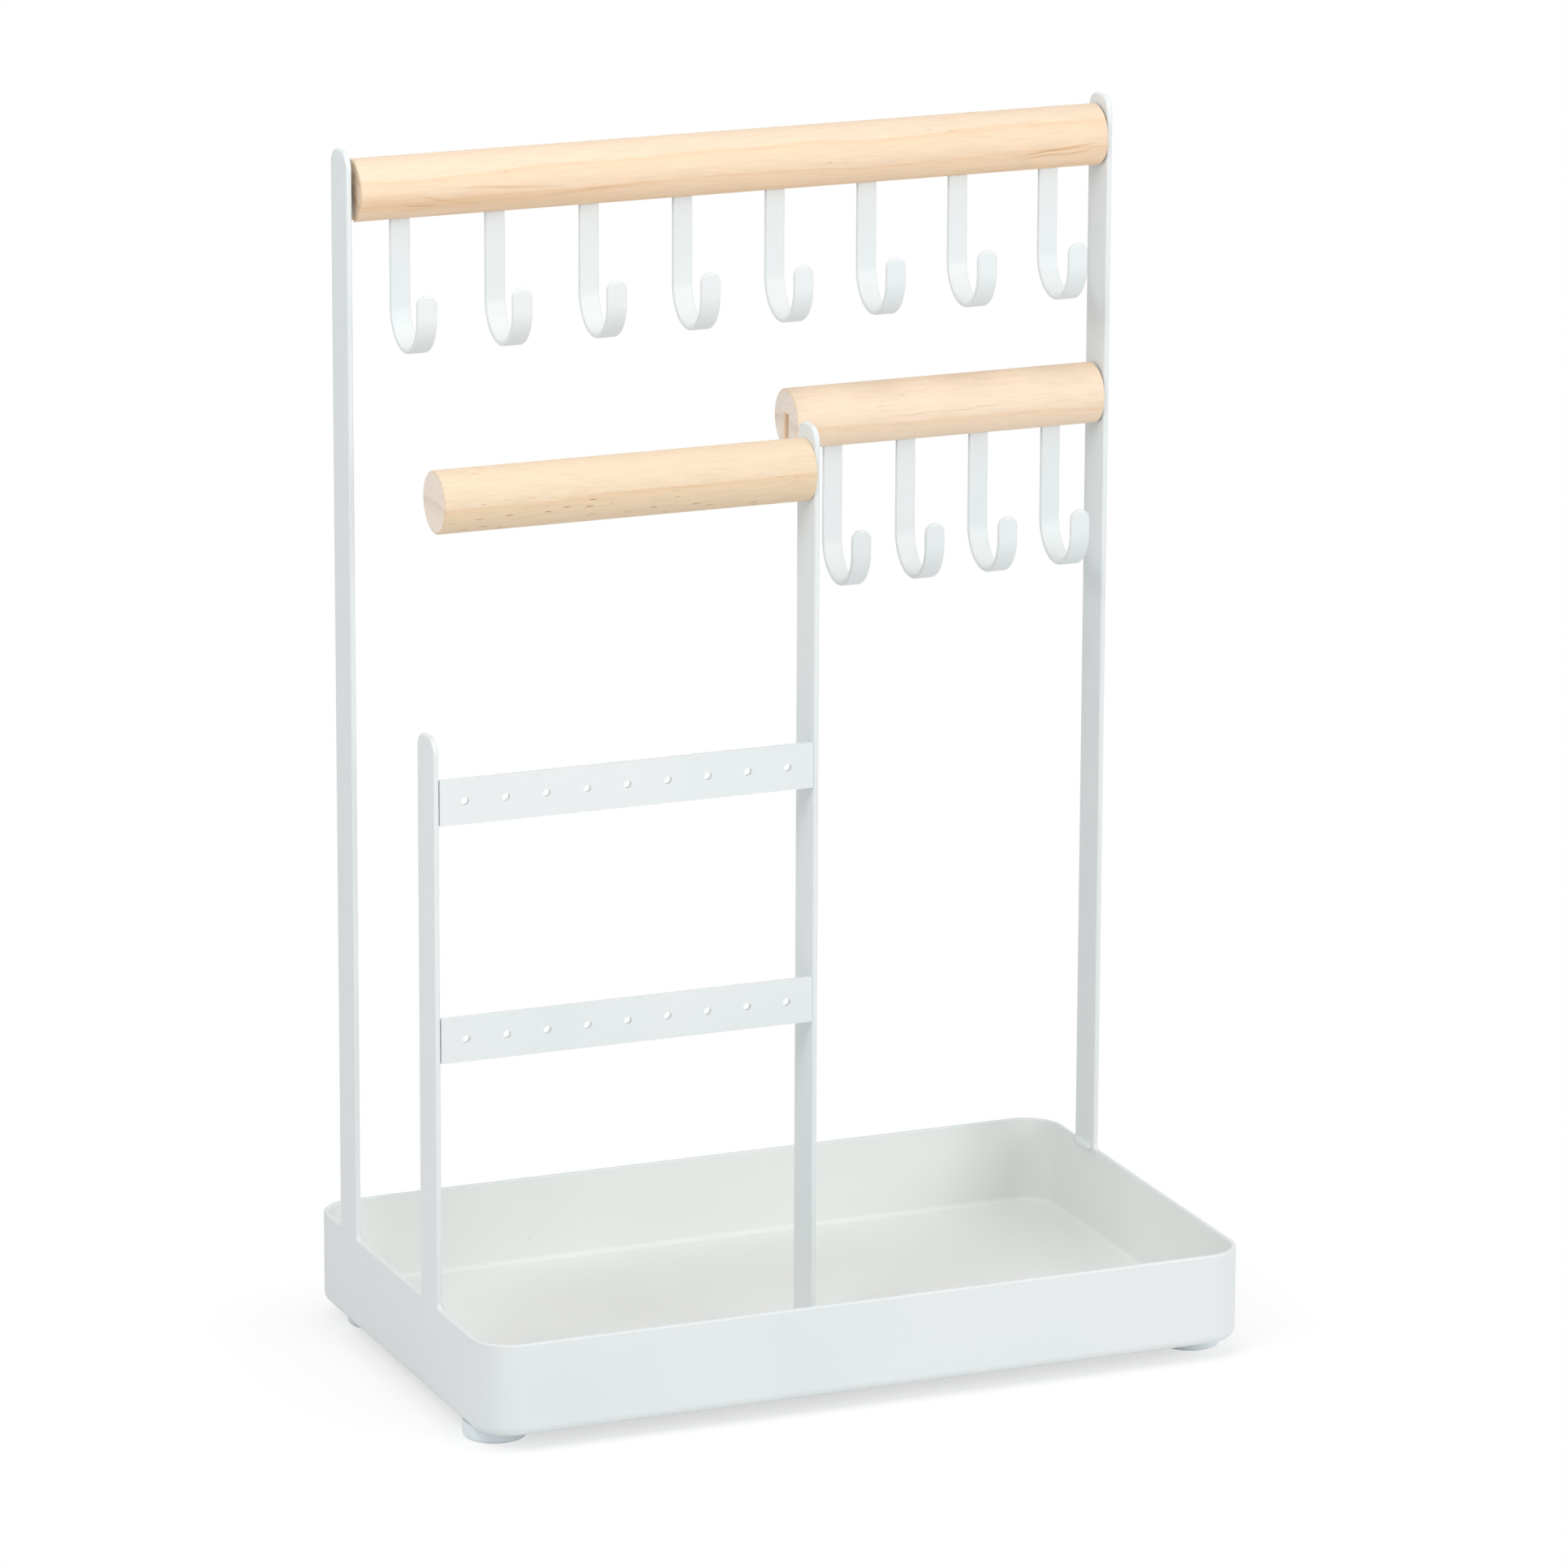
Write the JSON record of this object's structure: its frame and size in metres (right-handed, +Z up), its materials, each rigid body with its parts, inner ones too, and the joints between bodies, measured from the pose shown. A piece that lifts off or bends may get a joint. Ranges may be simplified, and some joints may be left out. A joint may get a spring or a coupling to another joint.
{
  "type": "jewelry organizer",
  "caption": "Free-standing jewelry organizer: a shallow white steel tray with flat posts, perforated earring bars, wooden dowels for bangles, and hooks for necklaces.",
  "frame": {"origin": "on the resting surface, under the middle of the tray", "axes": "+Z up, +X to the right seen from the front, +Y to the back, where the necklace hooks are"},
  "size_m": [0.198, 0.12, 0.295],
  "materials": {
    "white_coat": "satin white powder coat",
    "pine": "sanded, unvarnished",
    "foot_pad": "matt, milky white",
    "stud_steel": "plain steel"
  },
  "bodies": {
    "root": {"tray": "white_coat", "rear_left_post": "white_coat", "rear_right_post": "white_coat", "front_left_post": "white_coat", "front_right_post": "white_coat", "lower_earring_bar": "white_coat", "upper_earring_bar": "white_coat", "top_hook_rail": "white_coat", "middle_hook_rail": "white_coat", "top_hook_1": "white_coat", "top_hook_2": "white_coat", "top_hook_3": "white_coat", "top_hook_4": "white_coat", "top_hook_5": "white_coat", "top_hook_6": "white_coat", "top_hook_7": "white_coat", "top_hook_8": "white_coat", "middle_hook_1": "white_coat", "middle_hook_2": "white_coat", "middle_hook_3": "white_coat", "middle_hook_4": "white_coat", "rear_left_weld": "white_coat", "rear_right_weld": "white_coat", "front_left_weld": "white_coat", "front_right_weld": "white_coat", "top_dowel": "pine", "middle_dowel": "pine", "front_dowel": "pine", "front_left_foot": "foot_pad", "front_right_foot": "foot_pad", "rear_left_foot": "foot_pad", "rear_right_foot": "foot_pad", "front_dowel_stud": "stud_steel"}
  },
  "joints": []
}
